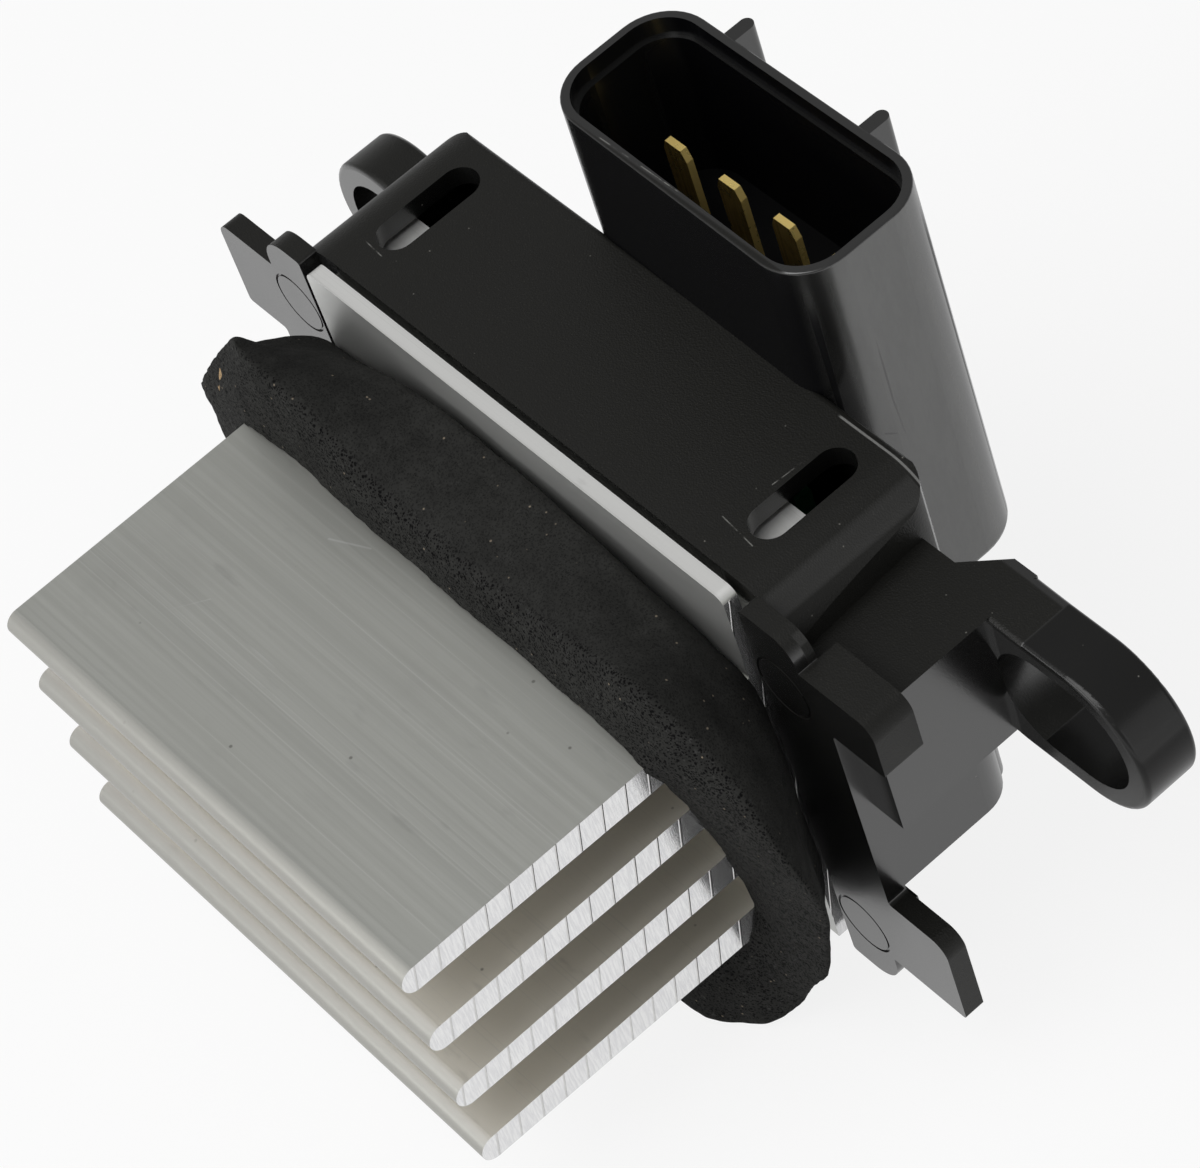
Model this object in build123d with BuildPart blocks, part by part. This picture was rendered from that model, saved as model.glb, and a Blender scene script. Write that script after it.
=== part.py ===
from build123d import *
import math
import os

os.makedirs("parts", exist_ok=True)

# Blower motor resistor of a car heater: a finned heat sink that hangs in the air duct,
# a foam gasket that seals the duct's opening round the fins, and a moulded housing behind
# the heat sink's plate with two ears, three kinds of locating tab and a four blade socket.
# X runs along the fins' length, -Y is the way the fins point, +Z is the way the socket opens.
# The origin is the middle of the fins, on the front face of the heat sink's plate.

# Heat sink, one sawn length of aluminium extrusion
sink_length = 52.0
plate_rise = 23.6
plate_drop = 22.05
plate_thickness = 1.4
plate_corner = 1.0
fin_count = 4
fin_pitch = 8.1
fin_reach = 35.55
fin_tip = 2.7
fin_root = 3.3
fin_root_fillet = 0.8
pedestal_depth = 4.9
land_thickness = 1.6
land_half = 12.6
shelf_thickness = 3.0
shelf_reach = 10.6
shelf_fillet = 1.2

# Circuit board and the room before and behind it
board_room = 9.4
board_thickness = 1.6
solder_room = 2.4
board_side_room = 0.9
board_top = 17.2
board_bottom = -12.6
board_corner = 1.0
board_shoulder_width = 8.7
board_shoulder_z = 6.0
lead_play = 0.12
lead_beyond_solder = 0.2

# Case, the closed box of the housing
wall = 2.0
side_gap = 1.3
side_wall = 3.1
side_draft = 1.0
cover_gap = 0.7
cover_top = 23.5
shelf_play = 0.6
case_drop = 15.5
cover_side_radius = 5.0
case_foot_radius = 3.0
case_corner_radius = 3.0
back_edge_radius = 0.6
slot_inside_opening = 4.25
slot_length = 10.25
slot_width = 3.54
slot_back_land = 0.45

# Frame round the plate; its widths, and the reach of its tabs, are measured from the opening
# that holds the heat sink, and each tab has a reach, a lower and an upper edge
frame_set_back = 0.3
frame_thickness = 1.9
shoulder_width = 6.1
left_shoulder_width = 5.6
side_width = 8.2
frame_top = 23.3
frame_foot = 22.8
shoulder_radius = 3.5
frame_edge_radius = 0.4
tab_radius = 1.6
right_upper_tab = (14.2, 14.5, 20.5)
right_upper_tab_thickness = 3.9
right_lower_tab = (14.7, -18.3, -8.3)
left_upper_tab = (13.3, 9.0, 19.1)
left_lower_tab = (14.2, -18.6, -12.6)
pin_mark_radius = 3.0
pin_mark_line = 0.25
pin_mark_depth = 0.15
pin_mark_from_opening = 3.1
pin_mark_height = 16.1

# Skirt under the case, behind the plate's lower lip, and its ribs
skirt_thickness = 2.0
skirt_rib_reach = 10.0
skirt_rib_thickness = 1.6
skirt_rib_spacing = 20.0
skirt_rib_rise = 1.0

# Ears that take the fixing screws, and what carries them, also measured from the opening
ear_hole_radius = 5.4
ear_front = 13.85
left_ear_radius = 7.6
left_ear_back = 18.75
left_ear_reach = 11.3
left_ear_z = 6.0
left_arm_half = 7.1
left_arm_set_back = 0.8
right_ear_radius = 7.3
right_ear_back = 19.15
right_ear_reach = 19.9
right_ear_z = 10.55
right_slot_z = 10.9
right_slot_travel = 3.3
arm_bend_reach = 15.3
ear_edge_radius = 0.5
wing_top = 18.0
wing_foot = 3.8
wing_width = 11.6
wing_back = 16.0
wing_back_width = 5.8
gusset_width = 9.1
wing_core_wall = 2.0
block_width = 7.9
block_back = 15.0
block_foot = -8.2
block_radius = 3.5

# Connector shroud, a socket with four blades
connector_left = -12.6
connector_right = 19.2
connector_front_left = 18.3
connector_overlap = 0.7
connector_back = 31.9
connector_rim = 37.5
connector_foot = -4.0
connector_flare = 0.36
connector_radius = 4.6
connector_wall = 1.1
rim_wall = 0.8
rim_band = 2.0
socket_floor = 20.0
rim_radius = 0.2
foot_radius = 0.8
guide_rib_reach = 2.4
guide_rib_thickness = 1.3
guide_rib_spacing = 15.75
guide_rib_middle = 2.95
guide_rib_foot = 4.0
guide_rib_below_rim = 0.15
core_cell_depth = 9.0
core_cell_rib = 1.4

# Blade terminals
blade_count = 4
blade_pitch = 6.52
blade_width = 2.8
blade_thickness = 0.64
blade_tip = 30.5
blade_middle = 3.95
blade_y = 25.0
blade_bevel_side = 0.45
blade_bevel_length = 1.1
terminal_leg_z = 12.0
terminal_pin_width = 1.2
terminal_bend_radius = 0.7
pin_stub = 1.2

# Power transistors on the land behind the plate
transistor_x = 11.0
transistor_width = 10.0
tab_height = 6.4
tab_thickness = 1.3
tab_corner = 0.5
tab_hole_from_top = 2.9
body_height = 9.0
body_thickness = 4.5
body_edge_radius = 0.5
body_taper = 4
lead_pitch = 2.54
lead_width = 0.75
lead_thickness = 0.5
lead_set_back = 2.6
lead_drop = 4.5
pad_thickness = 0.25
pad_margin = 0.8

# Screws and their holes
screw_radius = 1.5
thread_play = 0.03
screw_bite = 6.8
screw_hole_spare = 0.4
screw_head_radius = 2.8
screw_head_height = 2.0
screw_recess_radius = 0.75
screw_recess_depth = 1.1
washer_radius = 3.0
washer_thickness = 0.5
washer_play = 0.15
column_inside_opening = 3.3
column_radius = 3.5
column_bore = 1.75
column_sink_radius = 3.2
column_sink_depth = 2.6

# Posts of the housing that hold the board, with their ends melted over it
post_radius = 1.75
post_pin_radius = 0.95
post_head_radius = 1.5
post_head_height = 0.8
post_head_taper = 20
upper_post_from_shoulder = 3.6
upper_post_z = 14.6
lower_post_from_column = 6.4
lower_post_z = -10.4

# Small parts of the board
shunt_span = 14.0
shunt_width = 3.0
shunt_thickness = 0.6
shunt_height = 3.4
shunt_z = 15.2
shunt_pin_width = 1.2
shunt_bend_radius = 0.6
can_radius = 4.0
can_length = 11.5
can_clearance = 0.2
can_middle_z = 0.2
can_groove = 0.4
can_groove_low = 1.0
can_lead_bend = 1.0
can_lead_radius = 0.3
can_lead_pitch = 3.5
can_lead_drop = 1.8
chip_x = -14.0
chip_z = 2.0
chip_length = 8.65
chip_width = 3.9
chip_height = 1.5
chip_leg_count = 7
chip_leg_pitch = 1.27
chip_leg_width = 0.42
chip_leg_thickness = 0.2
chip_leg_reach = 1.05
small_length = 2.0
small_width = 1.25
small_height = 0.55
small_end = 0.4
small_lip = 0.03
resistor_places = ((4.0, -3.0), (8.0, -3.0), (12.0, -3.0), (-4.0, 8.0), (-8.0, 8.0))
capacitor_places = ((4.0, 1.5), (8.0, 1.5), (-14.0, -4.0))
diode_inside_opening = 5.8
diode_z = 1.5
diode_length = 4.3
diode_width = 2.6
diode_height = 2.1
diode_leg_thickness = 0.2
diode_leg_width = 1.6
diode_leg_reach = 0.6
solder_radius = 1.0
solder_tip_radius = 0.75
solder_height = 0.8

# Foam gasket, a ring that flares away from the plate
foam_root_reach = 2.5
foam_root_height = 35.5
foam_root_z = 0.75
foam_root_radius = 7.0
foam_front = 7.6
foam_reach = 11.25
foam_height = 41.5
foam_radius = 12.0
foam_tilt_x = 0.027
foam_tilt_z = 0.1
foam_edge_radius = 1.5

# Sizes and places that follow from those above
sink_half = sink_length / 2
fin_middle = (fin_count - 1) * fin_pitch / 2
pedestal_half = fin_middle + fin_root / 2
land_back = plate_thickness + land_thickness
board_front = land_back + board_room
board_back = board_front + board_thickness
case_inside = board_back + solder_room
case_back = case_inside + wall
case_front = plate_thickness + cover_gap
opening_half = sink_half + side_gap
slot_x = opening_half - slot_inside_opening
frame_shoulder = opening_half + shoulder_width
left_frame_shoulder = opening_half + left_shoulder_width
frame_side = opening_half + side_width
pin_mark_x = opening_half + pin_mark_from_opening
left_ear_x = -opening_half - left_ear_reach
right_ear_x = opening_half + right_ear_reach
right_arm_bend = opening_half + arm_bend_reach
wing_side = opening_half + wing_width
wing_back_end = opening_half + wing_back_width
gusset_end = opening_half + gusset_width
block_side = opening_half + block_width
column_x = opening_half - column_inside_opening
board_shoulder_x = opening_half - board_shoulder_width
upper_post_x = board_shoulder_x - upper_post_from_shoulder
lower_post_x = column_x - lower_post_from_column
diode_x = opening_half - diode_inside_opening
foam_root_width = sink_length + 2 * foam_root_reach
foam_width = sink_length + 2 * foam_reach
case_half_front = opening_half + side_wall
case_half_back = case_half_front - side_draft
ceiling = cover_top - wall
case_floor = wall - case_drop
shelf_top = ceiling - shelf_play
frame_back = frame_set_back + frame_thickness
slot_middle = case_inside - slot_back_land - slot_length / 2
connector_front = case_back - connector_overlap
connector_draft = math.degrees(math.atan(connector_flare / (connector_rim - connector_foot)))
blade_xs = [blade_middle + (i - (blade_count - 1) / 2) * blade_pitch for i in range(blade_count)]
pin_end = board_front - pin_stub
screw_z = fin_pitch
pad_back = land_back + pad_thickness
tab_back = pad_back + tab_thickness
tab_top = screw_z + tab_hole_from_top
body_top = tab_top - tab_height
body_foot = body_top - body_height
body_back = pad_back + body_thickness
lead_y = pad_back + lead_set_back
lead_z = body_foot - lead_drop
board_half = opening_half - board_side_room
lead_stub = board_back + solder_height + lead_beyond_solder
can_y = board_front - can_clearance - can_radius
can_foot = can_middle_z - can_length / 2
can_lead_z = can_foot - can_lead_drop
head_seat = case_back - column_sink_depth
washer_back = tab_back + washer_thickness
solder_taper = math.degrees(math.atan((solder_radius - solder_tip_radius) / solder_height))


def across(y):
    """A plane square to the fins, y behind the plate's face, that looks the way the fins point."""
    return Plane.XZ.offset(-y)


def sides(x):
    """The same place on both halves of the object."""
    return (-x, x)


def shroud_corners(inset):
    """Corners of the connector shroud's outline at its rim, a wall's thickness further in."""
    return (
        (connector_left + inset, connector_front_left + inset),
        (connector_right - inset, connector_front + inset),
        (connector_right - inset, connector_back - inset),
        (connector_left + inset, connector_back - inset),
    )


# Heat sink: one fin is drawn once, the whole section is made of four, and sawn to length
with BuildSketch() as fin_section:
    with BuildLine():
        tip_middle = fin_tip / 2 - fin_reach
        Line((-pedestal_depth, fin_root / 2), (tip_middle, fin_tip / 2))
        ThreePointArc((tip_middle, fin_tip / 2), (-fin_reach, 0), (tip_middle, -fin_tip / 2))
        Line((tip_middle, -fin_tip / 2), (-pedestal_depth, -fin_root / 2))
        Line((-pedestal_depth, -fin_root / 2), (-pedestal_depth, fin_root / 2))
    make_face()

with BuildPart() as heat_sink:
    with BuildSketch(Plane.YZ):
        with Locations((plate_thickness / 2, (plate_rise - plate_drop) / 2)):
            Rectangle(plate_thickness, plate_rise + plate_drop)
        with Locations(((land_back - pedestal_depth) / 2, 0)):
            Rectangle(land_back + pedestal_depth, 2 * land_half)
        with Locations((-pedestal_depth / 2, 0)):
            Rectangle(pedestal_depth, 2 * pedestal_half)
        with GridLocations(0, fin_pitch, 1, fin_count):
            add(fin_section.sketch)
        with Locations(((plate_thickness + shelf_reach) / 2, shelf_top - shelf_thickness / 2)):
            Rectangle(shelf_reach - plate_thickness, shelf_thickness)
        groove_corners = vertices().filter_by(
            lambda v: abs(v.X + pedestal_depth) < 0.01 and abs(v.Y) < pedestal_half - 0.01
        )
        fillet(groove_corners, fin_root_fillet)
        shelf_root = vertices().filter_by(
            lambda v: abs(v.X - plate_thickness) < 0.01
            and abs(v.Y - shelf_top + shelf_thickness) < 0.01
        )
        fillet(shelf_root, shelf_fillet)
    extrude(amount=sink_half, both=True)
    top_corners = edges().filter_by(Axis.Y).group_by(Axis.Z)[-1]
    fillet(top_corners, plate_corner)
    screw_hole = screw_radius + thread_play
    with BuildSketch(across(land_back)):
        with Locations(*[(x, screw_z) for x in sides(transistor_x)]):
            Circle(screw_hole)
        with Locations(*[(x, -screw_z) for x in sides(column_x)]):
            Circle(screw_hole)
    extrude(amount=screw_bite + screw_hole_spare, mode=Mode.SUBTRACT)

heat_sink.part.label = "heat_sink"
export_step(heat_sink.part, "parts/heat_sink.step")


# Foam gasket: a soft ring round the pedestal, wider at its free face than at the plate
foam_front_plane = Plane(
    origin=(0, -foam_front, 0),
    x_dir=(1, foam_tilt_x, 0),
    z_dir=(foam_tilt_x, -1, -foam_tilt_z),
)
with BuildPart() as foam_gasket:
    with BuildSketch(across(0)):
        with Locations((0, foam_root_z)):
            RectangleRounded(foam_root_width, foam_root_height, foam_root_radius)
    with BuildSketch(foam_front_plane):
        RectangleRounded(foam_width, foam_height, foam_radius)
    loft()
    front_rim = faces().sort_by(Axis.Y)[0].edges()
    fillet(front_rim, foam_edge_radius)
    with BuildSketch(across(plate_thickness)):
        Rectangle(2 * sink_half, 2 * pedestal_half)
    extrude(amount=fin_reach, mode=Mode.SUBTRACT)

foam_gasket.part.label = "foam_gasket"
export_step(foam_gasket.part, "parts/foam_gasket.step")


# Blade terminals: a bevelled blade in the socket, bent forward through the case to the board
terminals = []
for number, blade_x in enumerate(blade_xs, start=1):
    with BuildPart() as terminal:
        with BuildSketch(Plane.YZ.offset(blade_x)):
            with BuildLine():
                FilletPolyline(
                    (blade_y - blade_thickness / 2, blade_tip),
                    (blade_y - blade_thickness / 2, terminal_leg_z + blade_thickness / 2),
                    (case_inside, terminal_leg_z + blade_thickness / 2),
                    (case_inside, terminal_leg_z - blade_thickness / 2),
                    (blade_y + blade_thickness / 2, terminal_leg_z - blade_thickness / 2),
                    (blade_y + blade_thickness / 2, blade_tip),
                    close=True,
                    radius=[0, terminal_bend_radius, 0, 0, terminal_bend_radius + blade_thickness, 0],
                )
            make_face()
        extrude(amount=blade_width / 2, both=True)
        with BuildSketch(across(connector_back)):
            for side in (-1, 1):
                corner_x = blade_x + side * blade_width / 2
                with BuildLine():
                    Polyline(
                        (corner_x, blade_tip),
                        (corner_x - side * blade_bevel_side, blade_tip),
                        (corner_x, blade_tip - blade_bevel_length),
                        close=True,
                    )
                make_face()
        extrude(amount=connector_back - connector_front, mode=Mode.SUBTRACT)
        with BuildSketch(across(case_inside)):
            with Locations((blade_x, terminal_leg_z)):
                Rectangle(terminal_pin_width, blade_thickness)
        extrude(amount=case_inside - pin_end)
    terminals.append(terminal.part)
    terminal.part.label = f"blade_terminal_{number}"
    export_step(terminal.part, f"parts/blade_terminal_{number}.step")


# Outside of the connector shroud, still without its socket
with BuildPart() as shroud_block:
    with BuildSketch(Plane.XY.offset(connector_foot)):
        with BuildLine():
            FilletPolyline(
                *shroud_corners(-connector_flare),
                close=True,
                radius=connector_radius + connector_flare,
            )
        make_face()
    extrude(amount=connector_rim - connector_foot, taper=connector_draft)
    fillet(edges().group_by(Axis.Z)[-1], rim_radius)
    fillet(edges().group_by(Axis.Z)[0], foot_radius)


# Right ear, still without its slot; its arm gets a little deeper where it leaves the wing
with BuildPart() as right_ear_block:
    with BuildSketch(across(right_ear_back)):
        with Locations((right_ear_x, right_ear_z)):
            Circle(right_ear_radius)
        with BuildLine():
            Polyline(
                (wing_side, wing_top),
                (right_arm_bend, right_ear_z + right_ear_radius),
                (right_ear_x, right_ear_z + right_ear_radius),
                (right_ear_x, right_ear_z - right_ear_radius),
                (right_arm_bend, right_ear_z - right_ear_radius),
                (wing_side, wing_foot),
                close=True,
            )
        make_face()
    extrude(amount=right_ear_back - ear_front)
    fillet(edges().filter_by(GeomType.CIRCLE), ear_edge_radius)

# Left ear, still without its hole
with BuildPart() as left_ear_block:
    with BuildSketch(across(left_ear_back)):
        with Locations((left_ear_x, left_ear_z)):
            Circle(left_ear_radius)
    extrude(amount=left_ear_back - ear_front)
    fillet(edges().filter_by(GeomType.CIRCLE), ear_edge_radius)


# Housing: one moulding with the case, the frame and its tabs, the skirt, the wing, the ears,
# the connector shroud, the screw columns and the board's posts
with BuildPart() as housing:
    # Case, a box with rounded edges that narrows a little to the back: its three outlines, seen
    # from above, from the front and from the side, are cut through one another
    with BuildSketch(Plane.XY.offset(-case_drop)):
        with BuildLine():
            FilletPolyline(
                (-case_half_front, case_front),
                (case_half_front, case_front),
                (case_half_back, case_back),
                (-case_half_back, case_back),
                close=True,
                radius=[0, 0, case_corner_radius, case_corner_radius],
            )
        make_face()
    extrude(amount=cover_top + case_drop)
    with BuildSketch(across(case_back)):
        with BuildLine():
            FilletPolyline(
                (-case_half_front, cover_top),
                (case_half_front, cover_top),
                (case_half_front, -case_drop),
                (-case_half_front, -case_drop),
                close=True,
                radius=[
                    cover_side_radius, cover_side_radius, case_foot_radius, case_foot_radius
                ],
            )
        make_face()
    extrude(amount=case_back - case_front, mode=Mode.INTERSECT)
    with BuildSketch(Plane.YZ):
        with BuildLine():
            FilletPolyline(
                (case_front, cover_top),
                (case_back, cover_top),
                (case_back, -case_drop),
                (case_front, -case_drop),
                close=True,
                radius=[0, back_edge_radius, back_edge_radius, 0],
            )
        make_face()
    extrude(amount=case_half_front, both=True, mode=Mode.INTERSECT)

    # Skirt behind the plate's lower lip, with ribs up to the case
    with BuildSketch(across(case_front + skirt_thickness)):
        with BuildLine():
            FilletPolyline(
                (-frame_shoulder, case_floor),
                (-frame_shoulder, -frame_foot),
                (frame_shoulder, -frame_foot),
                (frame_shoulder, case_floor),
                close=True,
                radius=[0, shoulder_radius, shoulder_radius, 0],
            )
        make_face()
    extrude(amount=skirt_thickness)
    for rib_x in (-skirt_rib_spacing, 0, skirt_rib_spacing):
        with BuildSketch(Plane.YZ.offset(rib_x)):
            with BuildLine():
                Polyline(
                    (case_front + skirt_thickness / 2, wall / 2 - case_drop),
                    (case_front + skirt_thickness / 2, skirt_rib_rise - frame_foot),
                    (case_front + skirt_thickness, skirt_rib_rise - frame_foot),
                    (case_front + skirt_thickness + skirt_rib_reach, wall / 2 - case_drop),
                    close=True,
                )
            make_face()
        extrude(amount=skirt_rib_thickness / 2, both=True)

    # Frame on both sides of the plate, with the tabs that locate the part in the duct
    with BuildSketch(across(frame_back)):
        for side, shoulder, upper, lower in (
            (1, frame_shoulder, right_upper_tab, right_lower_tab),
            (-1, left_frame_shoulder, left_upper_tab, left_lower_tab),
        ):
            with BuildLine():
                FilletPolyline(
                    (side * opening_half, frame_top),
                    (side * shoulder, frame_top),
                    (side * shoulder, upper[2]),
                    (side * (opening_half + upper[0]), upper[2]),
                    (side * (opening_half + upper[0]), upper[1]),
                    (side * frame_side, upper[1]),
                    (side * frame_side, lower[2]),
                    (side * (opening_half + lower[0]), lower[2]),
                    (side * (opening_half + lower[0]), lower[1]),
                    (side * shoulder, lower[1]),
                    (side * shoulder, -frame_foot),
                    (side * opening_half, -frame_foot),
                    close=True,
                    radius=[
                        frame_edge_radius,
                        min(shoulder_radius, frame_top - upper[2] - frame_edge_radius),
                        frame_edge_radius / 2,
                        tab_radius,
                        frame_edge_radius,
                        frame_edge_radius,
                        frame_edge_radius,
                        tab_radius,
                        frame_edge_radius,
                        frame_edge_radius / 2,
                        min(shoulder_radius, frame_foot + lower[1] - frame_edge_radius),
                        frame_edge_radius,
                    ],
                )
            make_face()
    extrude(amount=frame_thickness)
    with BuildSketch(across(frame_set_back + right_upper_tab_thickness)):
        with BuildLine():
            FilletPolyline(
                (frame_shoulder, right_upper_tab[2]),
                (opening_half + right_upper_tab[0], right_upper_tab[2]),
                (opening_half + right_upper_tab[0], right_upper_tab[1]),
                (frame_shoulder, right_upper_tab[1]),
                close=True,
                radius=[0, tab_radius, frame_edge_radius, 0],
            )
        make_face()
    extrude(amount=right_upper_tab_thickness)

    # Wing on the right: a block behind the frame that steps back to the ear's arm
    with BuildSketch(Plane.XY.offset(wing_foot)):
        with BuildLine():
            Polyline(
                (opening_half + wall / 2, frame_back - frame_edge_radius),
                (wing_side, frame_back - frame_edge_radius),
                (wing_side, right_ear_back),
                (gusset_end, right_ear_back),
                (wing_back_end, wing_back),
                (opening_half + wall / 2, wing_back),
                close=True,
            )
        make_face()
    extrude(amount=wing_top - wing_foot)

    # Block under the wing
    with BuildSketch(Plane.XY.offset(block_foot)):
        with BuildLine():
            FilletPolyline(
                (opening_half + wall / 2, frame_back - frame_edge_radius),
                (block_side, frame_back - frame_edge_radius),
                (block_side, block_back),
                (opening_half + wall / 2, block_back),
                close=True,
                radius=[0, 0, block_radius, 0],
            )
        make_face()
    extrude(amount=wing_foot - block_foot)

    # Ears, and the short arm of the left one, which is thinner than the ear
    add(right_ear_block.part)
    add(left_ear_block.part)
    with BuildSketch(across(left_ear_back - left_arm_set_back)):
        with Locations(((left_ear_x - opening_half - wall / 2) / 2, left_ear_z)):
            Rectangle(-opening_half - wall / 2 - left_ear_x, 2 * left_arm_half)
    extrude(amount=left_ear_back - ear_front - 2 * left_arm_set_back)

    # Connector shroud behind the case, and the ribs on its back that guide the plug's latch
    add(shroud_block.part)
    rib_xs = [guide_rib_middle + side * guide_rib_spacing / 2 for side in (-1, 1)]
    with BuildSketch(Plane.XY.offset(guide_rib_foot)):
        for rib_x in rib_xs:
            with Locations((rib_x, connector_back + guide_rib_reach / 2 - connector_wall / 2)):
                SlotOverall(
                    guide_rib_reach + connector_wall, guide_rib_thickness, rotation=90
                )
    extrude(amount=connector_rim - guide_rib_below_rim - guide_rib_foot)

    # Cavity for the heat sink's back and the board, open at the front
    with BuildSketch(Plane.XY.offset(case_floor)):
        with Locations((0, (case_front - cover_gap + case_inside) / 2)):
            Rectangle(2 * opening_half, case_inside - case_front + cover_gap)
    extrude(amount=ceiling - case_floor, mode=Mode.SUBTRACT)

    # Slots through the cover over the shelf of the heat sink
    with BuildSketch(Plane.XY.offset(cover_top)):
        with Locations(*[(x, slot_middle) for x in sides(slot_x)]):
            SlotOverall(slot_length, slot_width, rotation=90)
    extrude(amount=-2 * wall, mode=Mode.SUBTRACT)

    # Socket, wider in a band at its mouth, and the cells that core out the shroud's foot
    for inset, depth in (
        (connector_wall, connector_rim - socket_floor),
        (rim_wall, rim_band),
    ):
        with BuildSketch(Plane.XY.offset(connector_rim)):
            with BuildLine():
                FilletPolyline(
                    *shroud_corners(inset), close=True, radius=connector_radius - inset
                )
            make_face()
        extrude(amount=-depth, mode=Mode.SUBTRACT)
    with BuildSketch(Plane.XY.offset(connector_foot)):
        cell_depth = connector_back - case_back - 2 * connector_wall
        with Locations((blade_middle, case_back + connector_wall + cell_depth / 2)):
            with GridLocations(blade_pitch, 0, blade_count, 1):
                Rectangle(blade_pitch - core_cell_rib, cell_depth)
    extrude(amount=core_cell_depth, mode=Mode.SUBTRACT)

    # Ear holes, the right one a slot
    with BuildSketch(across(right_ear_back)):
        with Locations((left_ear_x, left_ear_z)):
            Circle(ear_hole_radius)
        with Locations((right_ear_x - right_slot_travel / 2, right_slot_z)):
            SlotCenterToCenter(right_slot_travel, 2 * ear_hole_radius)
    extrude(amount=right_ear_back - ear_front, mode=Mode.SUBTRACT)

    # Core holes from behind in the wing and the block
    with BuildSketch(across(right_ear_back)):
        core_half = (wing_top - wing_foot - 3 * wing_core_wall) / 4
        for row in (-1, 1):
            with Locations(
                (
                    (wing_back_end + wing_side - wing_core_wall) / 2,
                    (wing_top + wing_foot) / 2 + row * (core_half + wing_core_wall / 2),
                )
            ):
                Rectangle(wing_side - wing_core_wall - wing_back_end, 2 * core_half)
    extrude(amount=right_ear_back - frame_back - wing_core_wall, mode=Mode.SUBTRACT)

    # Columns for the heat sink's screws, bored and sunk from behind
    with BuildSketch(across(case_inside)):
        with Locations(*[(x, -screw_z) for x in sides(column_x)]):
            Circle(column_radius)
    extrude(amount=case_inside - land_back)
    with BuildSketch(across(case_back)):
        with Locations(*[(x, -screw_z) for x in sides(column_x)]):
            Circle(column_bore)
    extrude(amount=case_back - land_back, mode=Mode.SUBTRACT)
    with BuildSketch(across(case_back)):
        with Locations(*[(x, -screw_z) for x in sides(column_x)]):
            Circle(column_sink_radius)
    extrude(amount=column_sink_depth, mode=Mode.SUBTRACT)

    # Posts that carry the board, their ends melted over its front
    posts = [(x, upper_post_z) for x in sides(upper_post_x)]
    posts += [(x, lower_post_z) for x in sides(lower_post_x)]
    with BuildSketch(across(case_inside)):
        with Locations(*posts):
            Circle(post_radius)
    extrude(amount=solder_room)
    with BuildSketch(across(board_back)):
        with Locations(*posts):
            Circle(post_pin_radius)
    extrude(amount=board_thickness)
    with BuildSketch(across(board_front)):
        with Locations(*posts):
            Circle(post_head_radius)
    extrude(amount=post_head_height, taper=post_head_taper)

    # Marks that the mould's ejector pins leave on the frame
    with BuildSketch(across(frame_set_back)):
        with Locations(
            (-pin_mark_x, pin_mark_height),
            (pin_mark_x, pin_mark_height),
            (pin_mark_x, -pin_mark_height),
        ):
            Circle(pin_mark_radius)
            Circle(pin_mark_radius - pin_mark_line, mode=Mode.SUBTRACT)
    extrude(amount=-pin_mark_depth, mode=Mode.SUBTRACT)

    # The terminals are moulded in
    for terminal in terminals:
        add(terminal, mode=Mode.SUBTRACT)

housing.part.label = "housing"
export_step(housing.part, "parts/housing.step")


# Circuit board, parallel to the plate, with holes for the posts, columns, terminals and leads
transistor_lead_xs = [
    x + i * lead_pitch for x in sides(transistor_x) for i in (-1, 0, 1)
]
can_lead_xs = [side * can_lead_pitch / 2 for side in (-1, 1)]
shunt_xs = [side * (shunt_span - shunt_thickness) / 2 for side in (-1, 1)]
with BuildPart() as circuit_board:
    with BuildSketch(across(board_back)):
        with Locations((0, (board_top + board_bottom) / 2)):
            RectangleRounded(2 * board_half, board_top - board_bottom, board_corner)
        with Locations(*[(x, -screw_z) for x in sides(column_x)]):
            Circle(column_radius + 2 * lead_play, mode=Mode.SUBTRACT)
        with Locations(*[(side * board_half, -screw_z) for side in (-1, 1)]):
            Rectangle(
                2 * (board_half - column_x),
                2 * (column_radius + 2 * lead_play),
                mode=Mode.SUBTRACT,
            )
        shoulder_width = 2 * (board_half - board_shoulder_x)
        shoulder_height = 2 * (board_top - board_shoulder_z)
        with Locations(*[(x, board_top) for x in sides(board_half)]):
            Rectangle(shoulder_width, shoulder_height, mode=Mode.SUBTRACT)
        with Locations(*posts):
            Circle(post_pin_radius + lead_play / 2, mode=Mode.SUBTRACT)
        with Locations(*[(x, terminal_leg_z) for x in blade_xs]):
            Rectangle(
                terminal_pin_width + lead_play, blade_thickness + lead_play, mode=Mode.SUBTRACT
            )
        with Locations(*[(x, lead_z) for x in transistor_lead_xs]):
            Rectangle(lead_width + lead_play, lead_thickness + lead_play, mode=Mode.SUBTRACT)
        with Locations(*[(x, can_lead_z) for x in can_lead_xs]):
            Circle(can_lead_radius + lead_play / 2, mode=Mode.SUBTRACT)
        with Locations(*[(x, shunt_z) for x in shunt_xs]):
            Rectangle(
                shunt_thickness + lead_play, shunt_pin_width + lead_play, mode=Mode.SUBTRACT
            )
    extrude(amount=board_thickness)

circuit_board.part.label = "circuit_board"
export_step(circuit_board.part, "parts/circuit_board.step")


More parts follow.
